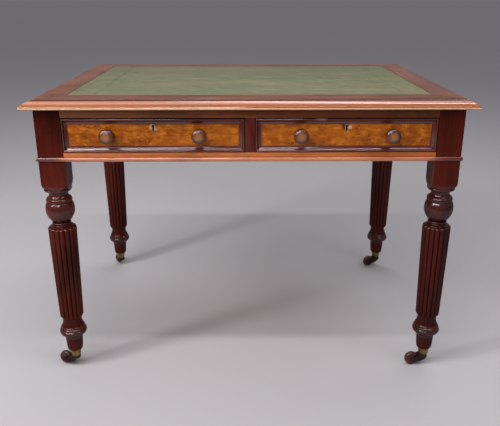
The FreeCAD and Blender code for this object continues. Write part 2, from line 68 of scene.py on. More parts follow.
# Each lamp: its place, its size and its power
LAMPS = {
    "front_lamp": ((-1.2, -1.9, 2.3), (2.8, 0.18), 43.0),
    "over_lamp": ((0.0, -1.0, 2.7), (4.0, 0.14), 34.0),
    "low_lamp": ((-1.2, -2.8, 1.75), (2.6, 0.1), 13.0),
    "back_lamp": ((0.8, 1.32, 3.23), (3.4, 0.36), 34.0),
    "left_lamp": ((-2.2, -1.4, 2.0), (0.3, 1.4), 26.0),
}

# All sizes from here on are in millimetres
MM = 0.001
TOP_HALF_LENGTH = 534.0
TOP_HALF_DEPTH = 386.0
TOP_UNDERSIDE = 715.0

# Section of a border board from its inner edge outwards and down, as (distance in, height)
BORDER_FLAT = (((90.0, 735.0), (90.0, 736.7), (89.7, 737.0)), ((89.7, 737.0), (27.6, 737.0)))
BORDER_EDGE = (
    ((27.6, 737.0), (27.2, 736.8), (27.0, 736.2), (26.9, 735.4)),
    ((26.8, 735.3), (24.5, 734.9), (22.4, 733.9), (20.6, 732.7)),
    ((20.4, 732.6), (19.5, 732.4), (18.4, 732.0)),
    ((18.4, 732.0), (15.6, 731.0), (12.4, 729.7), (9.2, 728.2), (6.2, 726.4), (3.6, 724.6), (1.6, 722.8),
     (0.8, 721.2)),
)
BORDER_BEAD = (
    ((0.9, 721.1), (1.7, 720.9), (1.8, 720.7)),
    ((1.7, 720.5), (0.6, 719.6), (0.1, 717.8), (0.6, 716.0), (2.0, 715.1)),
    ((2.2, 715.0), (90.0, 715.0)),
)
STATION_PITCH = 12.0
MITRE_DIP = 0.35
MITRE_REACH_SHARE = 0.0012
EDGE_WAVER = 0.22
WAVER_LENGTH = 55.0

# Beading round the bottom of the frieze
BEADING_HALF_LENGTH = 512.4
BEADING_HALF_DEPTH = 364.4
BEADING_RUNS = (
    ((4.0, 597.4), (2.0, 597.0), (0.6, 595.2), (0.0, 592.4), (0.6, 589.6), (2.0, 587.8), (4.0, 587.4)),
)

# Leather, with its blind-tooled lines
LEATHER_HALF_LENGTH = 444.0
LEATHER_HALF_DEPTH = 296.0
LEATHER_LEVEL = 736.6
LEATHER_UNDERSIDE = 735.3
LEATHER_PITCH = 12.0
LEATHER_SWELL = 0.16
SWELL_LENGTH = 70.0
LEATHER_EDGE = 1.2
LEATHER_EDGE_DROP = 0.5
TOOL_SIDES = (-378.4, -374.4, 374.4, 378.4)
TOOL_ROWS = (-225.0, -221.0, 203.0, 207.0)
TOOL_HALF_WIDTH = 1.0
TOOL_DEPTH = 0.5

# The legs. Each run is smooth, and each (radius, height) point is from its top down.
LEG_AXIS = (477.5, 329.5)
BLOCK_HALF = 31.0
BLOCK_TOP = TOP_UNDERSIDE
BLOCK_EDGE = 0.9
BLOCK_SIDE_STEPS = 16
BLOCK_CORNER_STEPS = 5
POMMEL_RUNS = (
    ((44.5, 531.5), (43.0, 527.0), (40.6, 522.0), (37.6, 518.0), (35.0, 515.6), (33.0, 514.4)),
    ((33.0, 514.0), (34.2, 512.8), (34.6, 510.8), (33.8, 508.6), (31.6, 507.2)),
)
TURNED_RUNS = (
    ((0.0, 507.4), (27.4, 507.4)),
    ((27.4, 507.0), (24.6, 504.4), (23.2, 500.6), (23.2, 496.8), (24.6, 493.2), (27.2, 490.4), (29.6, 489.2)),
    ((29.8, 489.0), (29.8, 487.8)),
    ((30.2, 487.4), (31.2, 486.0), (31.8, 483.4), (31.6, 480.6), (30.8, 478.8)),
    ((30.4, 478.4), (30.4, 477.6)),
    ((31.0, 477.2), (33.4, 472.8), (34.9, 467.4), (35.7, 462.0), (35.9, 456.6), (35.2, 450.6), (33.6, 444.8),
     (31.0, 438.8), (27.4, 433.0), (23.8, 428.6), (21.4, 426.0), (20.8, 425.0)),
    ((21.2, 424.6), (22.7, 423.6), (23.3, 421.8), (22.8, 419.8), (21.4, 418.8)),
    ((21.2, 418.4), (21.9, 416.4), (24.6, 414.8), (28.4, 414.0)),
    ((28.8, 413.8), (29.2, 412.6), (29.0, 411.4)),
)
COLUMN_TOP = 411.0
COLUMN_BOTTOM = 155.5
COLUMN_TOP_RADIUS = 35.3
COLUMN_BOTTOM_RADIUS = 30.4
COLUMN_TAPER_POWER = 1.2
REED_COUNT = 16
REED_DEPTH = 3.7
REED_NOSE = 4.6
REED_STEPS = 12
LEAST_NOSE = 1e-6
NOSE_SHARES = (0.0, 0.03, 0.1, 0.2, 0.34, 0.5, 0.7, 1.0)
COLUMN_STEPS = 12
FOOT_RUNS = (
    ((25.8, 155.5), (24.8, 150.0), (24.2, 143.4)),
    ((24.6, 141.6), (25.9, 136.0), (27.7, 131.0), (29.6, 127.6)),
    ((30.3, 127.0), (30.6, 123.2)),
    ((31.4, 122.6), (32.6, 121.4), (32.9, 119.4), (32.7, 117.8)),
    ((33.2, 117.2), (34.7, 115.4), (35.3, 112.4), (34.9, 109.2), (33.4, 105.8), (30.6, 102.6),
     (27.0, 100.0), (23.6, 98.4)),
    ((22.9, 98.0), (22.2, 84.0), (21.4, 70.0), (20.4, 61.0), (19.6, 55.8)),
    ((19.5, 55.4), (18.7, 54.2), (17.4, 54.0)),
    ((17.4, 54.0), (13.9, 54.0)),
    ((13.9, 53.8), (10.6, 36.0)),
    ((10.6, 35.9), (0.0, 35.9)),
)
RUN_STEPS = 5
CREASE_ANGLE = math.radians(32.0)

# Knob on the drawer, as (radius, distance out from the drawer front)
KNOB_RUNS = (
    ((0.0, -13.0), (4.8, -13.0)),
    ((4.8, -13.0), (4.8, -0.1)),
    ((13.2, 0.1), (14.0, 0.9), (14.2, 1.9), (13.5, 2.9)),
    ((13.1, 3.0), (9.6, 4.2), (8.1, 7.0), (8.5, 10.0), (11.0, 13.4), (14.6, 16.0)),
    ((14.8, 16.2), (16.6, 17.8), (17.5, 20.4), (16.9, 23.0), (14.8, 25.2), (11.0, 26.9), (6.0, 27.9),
     (0.0, 28.2)),
)
KNOB_SPACING = 217.0
KNOB_LEVEL = 650.75
DRAWER_FACE = -355.5
BAY_CENTRE = 229.375
KNOB_STEPS = 48
KNOB_REACH = KNOB_RUNS[-1][-1][1]

# Castor: wheel as (radius, distance along its axle), cup as (radius, height)
WHEEL_RUNS = (
    ((2.7, 6.9), (6.6, 7.0), (7.4, 6.6)),
    ((7.6, 6.4), (10.0, 5.9), (12.4, 6.1)),
    ((12.6, 6.3), (14.6, 6.8), (16.6, 6.0), (18.0, 4.2), (18.6, 2.0), (18.8, 0.0), (18.6, -2.0),
     (18.0, -4.2), (16.6, -6.0), (14.6, -6.8), (12.6, -6.3)),
    ((12.4, -6.1), (10.0, -5.9), (7.6, -6.4)),
    ((7.4, -6.6), (6.6, -7.0), (2.7, -6.9)),
)
CUP_RUNS = (
    ((3.2, 33.0), (10.9, 33.0)),
    ((11.1, 33.1), (12.0, 34.0), (12.9, 38.6), (14.4, 46.6), (15.4, 52.2)),
    ((15.7, 52.6), (15.8, 53.4), (15.4, 54.0), (14.9, 54.0), (14.4, 53.6)),
    ((14.3, 53.2), (10.9, 36.0)),
    ((10.7, 35.6), (3.2, 35.6)),
)
CASTOR_STEPS = 56
SCREW_RUNS = (
    ((0.0, 0.75), (1.1, 0.6), (1.9, 0.1)),
    ((2.1, 0.0), (2.2, -1.4)),
    ((2.2, -1.4), (0.0, -1.4)),
)
SCREW_STEPS = 20
CUP_SCREW_LEVEL = 49.5
CUP_SCREW_REACH = 15.0
CUP_SCREW_ANGLES = (-84.0, 36.0, 156.0)
LEAST_RADIUS = 0.05

# Edges of the boards that are eased on the CAD pieces
BOARD_EDGE = 0.7
MOULDING_EDGE = 0.3
IRON_EDGE = 0.7
WELD_GAP = 0.002
EDGE_SEGMENTS = 2
FLAT_ANGLE = math.radians(1.0)

ALONG_X = 0
ALONG_Y = 1
ALONG_Z = 2
UP = (0.0, 0.0, 1.0)
FORWARD = (0.0, -1.0, 0.0)

# Shellac polish: the orange tint of the wood's own gloss, its IOR, and how the shine fades in corners
SHELLAC_TINT = (1.0, 0.62, 0.48, 1.0)
SHELLAC_IOR = 2.2
UNDER_SHINE = 0.02
DULL_LIMIT = 0.8
DULL_SHARE = 0.1

# Patterns along the grain: (waves per metre along it, and across it), detail, roughness, distortion
FIGURE = ((3.0, 26.0), 4.0, 0.5, 0.6)
STREAKS = ((9.0, 420.0), 3.0, 0.6)
PORES = ((110.0, 2600.0), 1.0)
PATCHES = ((5.0, 9.0), 5.0, 0.62)
GLOW = ((45.0, 70.0), 5.0, 0.65)
DASH_SCALES = (85.0, 260.0)
RINGS = ((2.4, 60.0), 4.0, 0.5, 0.8)
BARE_STREAKS = ((14.0, 700.0), 3.0, 0.6)
HIDE_RUBS = ((3.0, 7.0), 6.0, 0.62)
SCUFFS = ((9.0, 60.0), 4.0, 0.6)

# Patterns alike in all directions: waves per metre, detail, roughness
SPARSE = (38.0, 3.0)
DIRT = (160.0, 4.0, 0.6)
RIPPLE = (28.0, 2.0)
DUST = (9.0, 5.0, 0.65)
HIDE_FOLDS = (420.0, 3.0)
HIDE_MOTTLE = (55.0, 4.0, 0.6)
PATINA = (120.0, 5.0, 0.65)
SPOTS = (420.0, 4.0, 0.6)
CLOUD = (70.0, 4.0)
SPECK = (900.0, 2.0)
HIDE_GRAIN_SCALE = 900.0
SPOT_DETAIL = 4.0

# Spans of a pattern that count, as its values where they start and end, and the shares that it gives there
FIGURE_SPAN = (0.32, 0.68, 0.0, 0.6)
STREAK_SPAN = (0.3, 0.7, 0.0, 0.4)
BLOTCH_SPAN = (0.47, 0.72, 0.0, 0.75)
GLOW_SPAN = (0.42, 0.7, 0.0, 0.7)
PORE_SPAN = (0.60, 0.72, 0.0, 0.55)
DASH_SPAN = (0.34, 0.16)
SPARSE_SPAN = (0.46, 0.60)
CORNER_SPAN = (0.92, 0.45)
SOIL_SPAN = (0.25, 0.6)
EDGE_SPAN = (0.86, 0.55)
WEAR_SPAN = (0.42, 0.62, 0.0, 0.55)
BAND_NOISE_SPAN = (0.3, 0.55, 0.7, 1.0)
MIDDLE_SPAN = (0.3, 0.7)
RING_SPAN = (0.3, 0.7, 0.0, 0.6)
DUST_SPAN = (0.5, 0.75, 0.0, 0.6)
BARE_SHADE_SPAN = (0.95, 0.5, 0.0, 0.7)
RUB_SPAN = (0.45, 0.72, 0.0, 0.75)
SCUFF_SPAN = (0.56, 0.72, 0.0, 0.5)
HIDE_GRAIN_SPAN = (0.0, 0.35, 0.35, 0.0)
SUNK_SPAN = (0.97, 0.75, 0.0, 0.85)
NEAR_MIDDLE_SPAN = (0.35, 0.65)
STAIN_SPAN = (0.48, 0.66, 0.0, 0.6)
TARNISH_AND_SHADE_SPAN = (0.9, 0.5, 0.0, 0.8)
SPECK_SPAN = (0.58, 0.7, 0.0, 0.7)

# How far away a neighbour still darkens a corner (grime with painted shade on polished wood; painted shade on
# bare wood, leather and glaze; tarnish on metal), or an own edge still shows wear
CORNER_REACH = 5.0
EDGE_REACH = 1.6
BARE_SHADE_REACH = 8.0
SUNK_REACH = 1.2
METAL_CORNER_REACH = 3.0
GLAZE_SHADE_REACH = 4.0
OPENNESS_SAMPLES = 6

# Roughness where a pattern is low and high, and what dirt adds to it
WOOD_ROUGHNESS = (0.3, 0.5)
SOIL_ROUGHNESS = 0.3
BARE_ROUGHNESS = (0.62, 0.85)
HIDE_ROUGHNESS = (0.42, 0.58)
GLAZE_ROUGHNESS = (0.3, 0.55)

# Heights of the fine relief, in millimetres, and its strengths
STREAK_HEIGHT_SHARE = 0.25
FOLD_HEIGHT_SHARE = 0.6
SPOT_HEIGHT_SHARE = 0.5
GRAIN_HEIGHT = 0.12
RIPPLE_RELIEF = (0.4, 0.08)
BARE_RELIEF = (0.2, 0.6)
HIDE_RELIEF = (0.18, 0.7)
METAL_RELIEF = (0.3, 0.4)
SPECK_RELIEF = (0.1, 0.4)

# Colours of the woods
TOP_WOOD = {"light": "7c4424", "dark": "5c2c14", "blotch": "401d0d", "pore": "200e07"}
LEG_WOOD = {"light": "5c1a0a", "dark": "360c04", "blotch": "200602", "pore": "0c0301"}
# The upper rail's wood is a darker copy of the lower rail's: painted shade under the overhang of the top.
SHADED_UPPER_RAIL_WOOD = {"light": "8a4a1e", "dark": "683010", "blotch": "43200c", "pore": "201006"}
LOWER_RAIL_WOOD = {"light": "c07036", "dark": "9c5024", "blotch": "703214", "pore": "321307"}
BEADING_WOOD = {"light": "c8805a", "dark": "ac6644", "blotch": "7a3a20", "pore": "30120a"}
PANEL_WOOD = {"light": "b45e12", "dark": "7e3a06", "blotch": "602a04", "pore": "2e1404", "glow": "d0801e"}
MOULDING_WOOD = {"light": "642414", "dark": "3e1209", "blotch": "240805", "pore": "100402"}
KNOB_WOOD = {"light": "5c2c1c", "dark": "40180e", "blotch": "2c1008", "pore": "140604"}
DEAL = {"light": "b78a55", "dark": "946a3c", "pore": "6a4c2e"}
OAK = {"light": "b08a58", "dark": "8a6538", "pore": "5c4226"}

# Colours of the leather, the glaze and the metals
# The back colour is painted shade towards the back of the leather. The sunk colour darkens the tooled lines
# and the rim: the tool's own darkening with painted shade.
HIDE = {"dark": "545a35", "light": "666a45", "rubbed": "7b6a4b", "scuffed": "8a8560", "grain": "33371f",
        "back": "48442c", "sunk": "1d1c10"}
HIDE_SHINE = {"Coat_Weight": 0.12, "Coat_Roughness": 0.35, "Specular_IOR_Level": 0.4}
# The glaze's corner colour is painted shade in the wheel's hollows and where it meets the fork and the floor.
GLAZE = {"dark": "32130f", "light": "4c201a", "speck": "2a1311", "corner": "1c0c0a"}
GLAZE_SHINE = {"Coat_Weight": 0.35, "Coat_Roughness": 0.2, "Specular_IOR_Level": 0.35}
BARE_SHINE = {"Specular_IOR_Level": 0.2}
SCREW_IRON = {"bright": "4a4038", "dull": "332b26", "stain": "5a3018"}
CASTOR_BRASS = {"bright": "a08a52", "dull": "75623a", "stain": "3a2c1c"}
CASTOR_IRON = {"bright": "3c3532", "dull": "2a2524", "stain": "4e2c1c", "roughness": (0.4, 0.7)}
LOCK_BRASS = {"bright": "b89a58", "dull": "8a7040", "stain": "4a3a22"}
KEYHOLE_BRASS = {"bright": "f0dcb4", "dull": "b89c6c", "stain": "3a2c18", "roughness": (0.2, 0.45)}
STAINED_METAL_SHARE = 0.3

# Where painted shade starts to darken the leather towards the back, where it is darkest, and how much
HIDE_SHADE_START = -100.0
HIDE_SHADE_END = 340.0
HIDE_SHADE_SHARE = 0.4

# Colour bands on the moulded edge of the top, as (low, high, colour, strength): rubbed wear, painted
# highlights and painted shade
EDGE_WEAR_AND_PAINTED_LIGHT = (
    # rubbed wear, and painted light on the front-facing slope of the edge
    (712.0, 732.6, "a8622e", 0.6),
    # painted shade in the hollow behind the shoulder
    (733.0, 735.4, "3a1a12", 0.6),
    # painted highlight along the shoulder
    (727.6, 732.6, "c89a8c", 0.45),
    # painted highlight along the bead
    (716.4, 720.6, "e6bc94", 0.6),
    # painted shade in the quirk above the bead
    (720.7, 721.8, "5a2c14", 0.6),
    # painted shade under the nose
    (712.0, 715.6, "2a0e04", 0.7),
)
EDGE_BLUR = 0.3

# Wear round the keyholes, a splintered place on the right drawer's moulding, painted shade on the right
# front leg, and the hearts of the knobs. Each is (centre, reach, how much it shrinks along each axis, colour,
# strength).
EVENLY = (1.0, 1.0, 1.0)
KEYHOLE_WEAR = (
    ((-234.0, DRAWER_FACE, 669.0), 8.0, EVENLY, "c89c78", 0.85),
    ((-223.0, DRAWER_FACE, 665.0), 5.0, EVENLY, "c09070", 0.8),
    ((-227.0, DRAWER_FACE, 680.0), 7.0, EVENLY, "1a0a05", 0.9),
    ((227.0, DRAWER_FACE, 676.0), 15.0, (1.0, 1.0, 0.8), "1a0a05", 0.85),
    ((237.0, DRAWER_FACE, 669.0), 6.5, EVENLY, "d8b898", 0.9),
)
SPLINTER = (
    ((168.0, -358.0, 690.0), 9.0, (0.4, 1.0, 1.4), "94746a", 0.8),
    ((178.0, -358.0, 694.0), 6.0, (0.4, 1.0, 2.0), "150605", 0.8),
)
# Painted shade: the right front leg darkened as a whole.
SHADED_LEG = (((LEG_AXIS[0], -LEG_AXIS[1], 250.0), 420.0, EVENLY, "150407", 0.45),)
# A knob's heart has its centre at the knob's own front.
KNOB_HEART = (14.0, (1.0, 0.6, 1.0), "96602c", 0.85)
RAGGED_SHARE = 0.5

# Dark stain of the beading where it runs round the legs
CORNER_STAIN_PLACE = (495.0, 345.0, 592.0)
CORNER_STAIN_REACH = 84.0

# Heights of the turned rings, which took a brighter polish on the lathe than the flats and the reeds
RING_BANDS = ((91.0, 128.0), (407.0, 522.0))
RING_DIRT = ((50.0, 150.0, "240605", 0.3), (407.0, 522.0, "240605", 0.3))
FLAT_SHINE_SHARE = 0.3
BAND_BLUR = 1.5

# Half size of the frame of mouldings on a drawer front
MOULDING_HALF = (216.0, 39.0)

# Polish of each piece, where it isn't the usual one
TOP_COAT = 0.4
BEADING_COAT = 0.5
LEG_POLISH = {
    "coat": 0.28, "smear": 0.16, "grime_and_shade_strength": (0.7, 1.0), "relief": 0.08,
    "bright": RING_BANDS, "rubbed": RING_DIRT, "stains": SHADED_LEG,
}
PANEL_POLISH = {"coat": 0.15, "flecks": 0.9}
MOULDING_POLISH = {"coat": 0.45, "relief": 0.06}
KNOB_POLISH = {"coat": 0.45, "smear": 0.22}


def colour(code):
    """The linear colour of a written web colour."""
    parts = []
    for place in (0, 2, 4):
        part = int(code[place:place + 2], 16) / 255
        parts.append(((part + 0.055) / 1.055) ** 2.4 if part > 0.04045 else part / 12.92)
    return (*parts, 1.0)


class Surface:
    """One material, built up node by node."""

    def __init__(self, name, **shader_values):
        self.material = bpy.data.materials.new(name)
        self.material.use_nodes = True
        self.nodes = self.material.node_tree.nodes
        self.links = self.material.node_tree.links
        self.shader = self.nodes["Principled BSDF"]
        for socket, value in shader_values.items():
            self.feed(self.shader.inputs[socket.replace("_", " ")], value)
        self.place = self.put("ShaderNodeTexCoord", out="Object")

    def feed(self, socket, value):
        if isinstance(value, bpy.types.NodeSocket):
            self.links.new(value, socket)
        else:
            socket.default_value = value

    def put(self, kind, inputs=(), settings=(), out=0):
        node = self.nodes.new(kind)
        for name, value in dict(settings).items():
            setattr(node, name, value)
        for name, value in dict(inputs).items():
            self.feed(node.inputs[name], value)
        return node.outputs[out]

    def stretched(self, grain, scales):
        """The place, scaled along the grain and across it."""
        along, across = scales
        axes = [across] * 3
        axes[grain] = along
        return self.put("ShaderNodeMapping", {"Vector": self.place, "Scale": axes})

    def noise(self, scale, detail, roughness=0.5):
        return self.put("ShaderNodeTexNoise", {
            "Vector": self.place, "Scale": scale, "Detail": detail, "Roughness": roughness,
        })

    def grained(self, grain, scales, detail, roughness=0.5, distortion=0.0):
        """Noise that is drawn out along the grain."""
        return self.put("ShaderNodeTexNoise", {
            "Vector": self.stretched(grain, scales), "Scale": 1.0, "Detail": detail, "Roughness": roughness,
            "Distortion": distortion,
        })

    def cells(self, place, scale=1.0):
        return self.put("ShaderNodeTexVoronoi", {"Vector": place, "Scale": scale}, out="Distance")

    def span(self, value, low, high, to_low=0.0, to_high=1.0):
        """The value's span from low to high, turned into the span from to_low to to_high."""
        return self.put("ShaderNodeMapRange", {
            "Value": value, "From Min": low, "From Max": high, "To Min": to_low, "To Max": to_high,
        }, {"interpolation_type": "SMOOTHSTEP"})

    def reckon(self, kind, first, second=0.0):
        return self.put("ShaderNodeMath", {0: first, 1: second}, {"operation": kind})

    def times(self, first, second):
        return self.reckon("MULTIPLY", first, second)

    def mixed(self, share, first, code):
        """The first colour, covered by the written one to the share."""
        return self.put("ShaderNodeMix", {0: share, 6: first, 7: colour(code)}, {"data_type": "RGBA"}, out=2)

    def bumped(self, height, distance, strength, normal=None):
        inputs = {"Height": height, "Distance": distance * MM, "Strength": strength}
        if normal:
            inputs["Normal"] = normal
        return self.put("ShaderNodeBump", inputs)

    def openness(self, reach, inside=False):
        """1 where nothing stands near, and less in corners, or inside a piece at its own edges."""
        return self.put("ShaderNodeAmbientOcclusion", {"Distance": reach * MM}, {
            "only_local": inside, "inside": inside, "samples": OPENNESS_SAMPLES,
        }, out="AO")

    def parts(self):
        """The place's coordinates, by name or by number."""
        parts = self.nodes.new("ShaderNodeSeparateXYZ")
        self.feed(parts.inputs[0], self.place)
        return parts.outputs

    def spot(self, centre, reach, stretch):
        """1 at a centre, 0 beyond the reach from it, with a ragged edge."""
        reach *= MM
        centre = tuple(part * MM for part in centre)
        away = self.put("ShaderNodeVectorMath", {0: self.place, 1: centre}, {"operation": "SUBTRACT"})
        away = self.put("ShaderNodeVectorMath", {0: away, 1: stretch}, {"operation": "MULTIPLY"})
        length = self.put("ShaderNodeVectorMath", {0: away}, {"operation": "LENGTH"}, out="Value")
        unrest = self.times(self.noise(1 / reach, SPOT_DETAIL), RAGGED_SHARE * reach)
        return self.span(self.reckon("ADD", length, unrest), (1 + RAGGED_SHARE / 2) * reach, reach / 2)

    def bands(self, levels, least, blur):
        """1 within the bands of height, and the least elsewhere."""
        height = self.parts()["Z"]
        inside = 0.0
        for low, high in levels:
            above = self.span(height, (low - blur) * MM, (low + blur) * MM)
            below = self.span(height, (high + blur) * MM, (high - blur) * MM)
            inside = self.reckon("ADD", self.times(above, below), inside)
        return self.span(inside, 0.0, 1.0, least, 1.0)

    def turn_grain(self, other, centre, half):
        """Swap the X axis and the other one on the strips of a mitred frame that run along the other."""
        parts = self.parts()
        gaps = []
        for axis, middle, reach in zip((ALONG_X, other), centre, half):
            out = self.reckon("SUBTRACT", self.reckon("ABSOLUTE", parts[axis]), middle * MM)
            gaps.append(self.reckon("SUBTRACT", reach * MM, self.reckon("ABSOLUTE", out)))
        order = [0, 1, 2]
        order[ALONG_X], order[other] = other, ALONG_X
        swapped = self.put("ShaderNodeCombineXYZ", {axis: parts[order[axis]] for axis in range(3)})
        turned = self.reckon("LESS_THAN", gaps[0], gaps[1])
        self.place = self.put("ShaderNodeMix", {0: turned, 4: self.place, 5: swapped}, {
            "data_type": "VECTOR",
        }, out=1)

    def finish(self, base, roughness, normal):
        self.feed(self.shader.inputs["Base Color"], base)
        self.feed(self.shader.inputs["Roughness"], roughness)
        self.feed(self.shader.inputs["Normal"], normal)
        return self.material


def wood(name, grain, light, dark, blotch, pore, glow=None, coat=0.2, smear=0.12, flecks=0.0, relief=0.35,
         grime_and_shade_strength=(0.45, 0.95), bright=(), turned=None, rubbed=(), stains=()):
    """Polished wood: figure, streaks, pores and blotches along the grain, grime with painted shade in
    corners, wear on edges, and bands by height that hold wear and, on the top's edge, painted highlights and
    painted shade.
    """
    surface = Surface(
        name, Coat_Roughness=smear, Coat_IOR=SHELLAC_IOR, Specular_IOR_Level=UNDER_SHINE,
        Specular_Tint=SHELLAC_TINT,
    )
    own_place = surface.place
    if turned:
        surface.turn_grain(*turned)
    figure = surface.grained(grain, *FIGURE)
    streaks = surface.grained(grain, *STREAKS)
    patches = surface.grained(grain, *PATCHES)
    tone = surface.reckon("ADD", surface.span(figure, *FIGURE_SPAN), surface.span(streaks, *STREAK_SPAN))
    base = surface.mixed(tone, colour(dark), light)
    base = surface.mixed(surface.span(patches, *BLOTCH_SPAN), base, blotch)
    if glow:
        base = surface.mixed(surface.span(surface.grained(grain, *GLOW), *GLOW_SPAN), base, glow)
    holes = surface.span(surface.grained(grain, *PORES), *PORE_SPAN)
    base = surface.mixed(holes, base, pore)
    if flecks:
        dashes = surface.cells(surface.stretched(grain, DASH_SCALES))
        sparse = surface.span(surface.noise(*SPARSE), *SPARSE_SPAN)
        mask = surface.times(surface.span(dashes, *DASH_SPAN), sparse)
        base = surface.mixed(surface.times(mask, flecks), base, pore)
    dirt = surface.noise(*DIRT)
    corners = surface.span(surface.openness(CORNER_REACH), *CORNER_SPAN)
    shine = surface.span(corners, 0.0, DULL_LIMIT, coat, coat * DULL_SHARE)
    if bright:
        shine = surface.times(shine, surface.bands(bright, FLAT_SHINE_SHARE, BAND_BLUR))
    surface.feed(surface.shader.inputs["Coat Weight"], shine)
    # Grime with painted shade: darker towards the pore colour in corners and near other parts, broken up by
    # the dirt pattern.
    grime_and_shade = surface.times(corners, surface.span(dirt, *SOIL_SPAN, *grime_and_shade_strength))
    base = surface.mixed(grime_and_shade, base, pore)
    edges = surface.span(surface.openness(EDGE_REACH, inside=True), *EDGE_SPAN)
    base = surface.mixed(surface.times(edges, surface.span(dirt, *WEAR_SPAN)), base, light)
    surface.place = own_place
    # Bands by height: wear on the turned rings, and on the top's moulded edge wear with painted highlights
    # and painted shade.
    for low, high, code, strength in rubbed:
        worn_and_lit = surface.times(surface.bands([(low, high)], 0.0, EDGE_BLUR), strength)
        base = surface.mixed(surface.times(worn_and_lit, surface.span(dirt, *BAND_NOISE_SPAN)), base, code)
    for centre, reach, stretch, code, strength in stains:
        base = surface.mixed(surface.times(surface.spot(centre, reach, stretch), strength), base, code)
    roughness = surface.span(patches, *MIDDLE_SPAN, *WOOD_ROUGHNESS)
    roughness = surface.reckon("ADD", roughness, surface.times(grime_and_shade, SOIL_ROUGHNESS))
    height = surface.reckon("SUBTRACT", surface.times(streaks, STREAK_HEIGHT_SHARE), holes)
    normal = surface.bumped(height, GRAIN_HEIGHT, relief)
    normal = surface.bumped(surface.noise(*RIPPLE), *RIPPLE_RELIEF, normal)
    return surface.finish(base, roughness, normal)


def bare_wood(name, grain, light, dark, pore):
    """Unpolished wood inside the table, grey with age and handling."""
    surface = Surface(name, **BARE_SHINE)
    rings = surface.grained(grain, *RINGS)
    streaks = surface.grained(grain, *BARE_STREAKS)
    dust = surface.noise(*DUST)
    tone = surface.reckon("ADD", surface.span(rings, *RING_SPAN), surface.span(streaks, *STREAK_SPAN))
    base = surface.mixed(tone, colour(dark), light)
    base = surface.mixed(surface.span(dust, *DUST_SPAN), base, pore)
    # Painted shade: darker towards the pore colour in corners and near other parts.
    base = surface.mixed(surface.span(surface.openness(BARE_SHADE_REACH), *BARE_SHADE_SPAN), base, pore)
    normal = surface.bumped(surface.reckon("ADD", rings, streaks), *BARE_RELIEF)
    return surface.finish(base, surface.span(dust, *MIDDLE_SPAN, *BARE_ROUGHNESS), normal)


def leather():
    """Old green hide: fine grain, rubbed patches, tooled lines darkened by the tool and by painted shade, a
    low wax shine, and painted shade darkening it towards the back.
    """
    surface = Surface("green_leather", **HIDE_SHINE)
    grain = surface.cells(surface.place, HIDE_GRAIN_SCALE)
    rubs = surface.grained(ALONG_X, *HIDE_RUBS)
    mottle = surface.noise(*HIDE_MOTTLE)
    base = surface.mixed(surface.span(mottle, *MIDDLE_SPAN), colour(HIDE["dark"]), HIDE["light"])
    base = surface.mixed(surface.span(rubs, *RUB_SPAN), base, HIDE["rubbed"])
    base = surface.mixed(surface.span(surface.grained(ALONG_X, *SCUFFS), *SCUFF_SPAN), base, HIDE["scuffed"])
    base = surface.mixed(surface.span(grain, *HIDE_GRAIN_SPAN), base, HIDE["grain"])
    # Painted shade: the leather turns towards its back colour the further back it lies.
    depth = surface.parts()["Y"]
    back = surface.span(depth, HIDE_SHADE_START * MM, HIDE_SHADE_END * MM, 0.0, HIDE_SHADE_SHARE)
    base = surface.mixed(back, base, HIDE["back"])
    # The tool's own darkening with painted shade: darker in the tooled lines and along the rim, where
    # neighbours stand near.
    base = surface.mixed(surface.span(surface.openness(SUNK_REACH), *SUNK_SPAN), base, HIDE["sunk"])
    height = surface.reckon("ADD", grain, surface.times(surface.noise(*HIDE_FOLDS), FOLD_HEIGHT_SHARE))
    normal = surface.bumped(height, *HIDE_RELIEF)
    return surface.finish(base, surface.span(rubs, *MIDDLE_SPAN, *HIDE_ROUGHNESS), normal)


def metal(name, bright, dull, stain, roughness=(0.3, 0.55)):
    """Old metal: bright where it is rubbed, dull and stained elsewhere."""
    surface = Surface(name)
    patina = surface.noise(*PATINA)
    spots = surface.noise(*SPOTS)
    stained = surface.span(spots, *STAIN_SPAN)
    base = surface.mixed(surface.span(patina, *NEAR_MIDDLE_SPAN), colour(dull), bright)
    base = surface.mixed(stained, base, stain)
    base = surface.mixed(surface.span(surface.openness(METAL_CORNER_REACH), *TARNISH_AND_SHADE_SPAN), base, stain)
    surface.feed(surface.shader.inputs["Metallic"], surface.span(stained, 0.0, 1.0, 1.0, STAINED_METAL_SHARE))
    height = surface.reckon("ADD", patina, surface.times(spots, SPOT_HEIGHT_SHARE))
    normal = surface.bumped(height, *METAL_RELIEF)
    return surface.finish(base, surface.span(spots, *NEAR_MIDDLE_SPAN, *roughness), normal)


def ceramic():
    """Brown glaze with darker speckles, and painted shade in its hollows."""
    surface = Surface("glazed_ceramic", **GLAZE_SHINE)
    cloud = surface.noise(*CLOUD)
    speck = surface.noise(*SPECK)
    base = surface.mixed(surface.span(cloud, *NEAR_MIDDLE_SPAN), colour(GLAZE["dark"]), GLAZE["light"])
    base = surface.mixed(surface.span(speck, *SPECK_SPAN), base, GLAZE["speck"])
    # Painted shade: darker in the hollows and near the fork and the floor.
    corners = surface.span(surface.openness(GLAZE_SHADE_REACH), *TARNISH_AND_SHADE_SPAN)
    base = surface.mixed(corners, base, GLAZE["corner"])
    roughness = surface.span(cloud, *MIDDLE_SPAN, *GLAZE_ROUGHNESS)
    return surface.finish(base, roughness, surface.bumped(speck, *SPECK_RELIEF))


def linked(name, data):
    thing = bpy.data.objects.new(name, data)
    bpy.context.scene.collection.objects.link(thing)
    return thing


